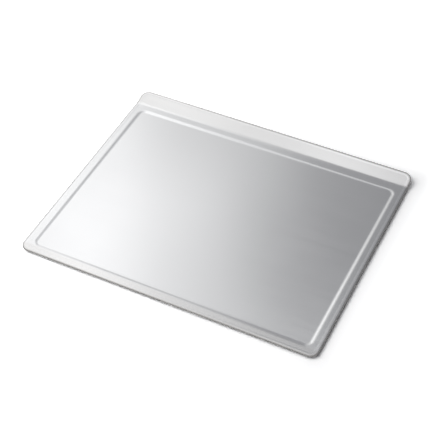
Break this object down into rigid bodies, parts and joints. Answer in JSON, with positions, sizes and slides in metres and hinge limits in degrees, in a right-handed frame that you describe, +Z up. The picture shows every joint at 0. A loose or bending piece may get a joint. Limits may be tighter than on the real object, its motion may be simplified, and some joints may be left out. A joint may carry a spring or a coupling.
{
  "type": "cookie sheet",
  "caption": "Flat air-insulated cookie sheet of satin aluminium with a sunken baking panel, a hemmed rim, round corners and a raised grip lip along one long side.",
  "frame": {"origin": "on the table under the middle of the level outline, at the height of the base sheet's flat floor", "axes": "+X to the right along the lip, +Y from the front edge to the lip, +Z up"},
  "size_m": [0.406, 0.33, 0.0105],
  "materials": {
    "baking_aluminium": "satin, rolled along the lip",
    "base_aluminium": "mill finish, a little duller than the baking sheet"
  },
  "bodies": {
    "root": {"baking_sheet": "baking_aluminium", "base_sheet": "base_aluminium"}
  },
  "joints": []
}
